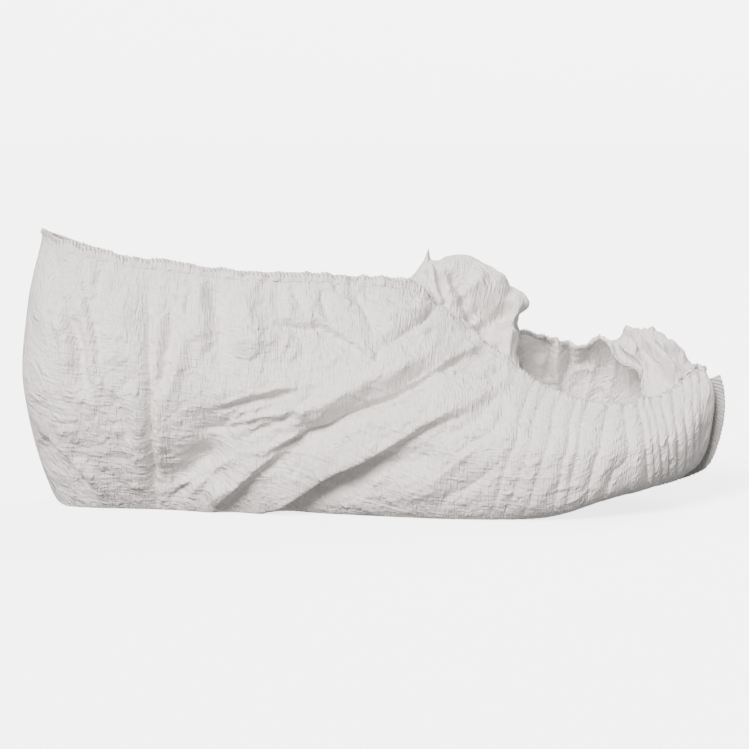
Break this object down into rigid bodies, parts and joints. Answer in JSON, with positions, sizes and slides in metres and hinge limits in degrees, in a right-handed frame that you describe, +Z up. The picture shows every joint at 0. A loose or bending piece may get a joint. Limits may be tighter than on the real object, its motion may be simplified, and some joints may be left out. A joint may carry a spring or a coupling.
{
  "type": "plastic shoe cover",
  "caption": "Disposable overshoe of thin white plastic sheet with a gathered elastic mouth and an overlocked toe seam, standing empty on its sole.",
  "frame": {"origin": "on the ground, under the middle of the cover's bounding box", "axes": "+X points to the toe, +Y to the wearer's left, +Z up; the cover stands on its sole at z = 0"},
  "size_m": [0.3124, 0.1128, 0.1217],
  "materials": {
    "sheet": "matt, finely embossed flash-spun plastic sheet",
    "hem": "matt, gathered and overlocked",
    "seam": "matt, overlocked thread"
  },
  "bodies": {
    "root": {"right_panel": "sheet", "left_panel": "sheet", "elastic_hem": "hem", "toe_seam": "seam"}
  },
  "joints": []
}
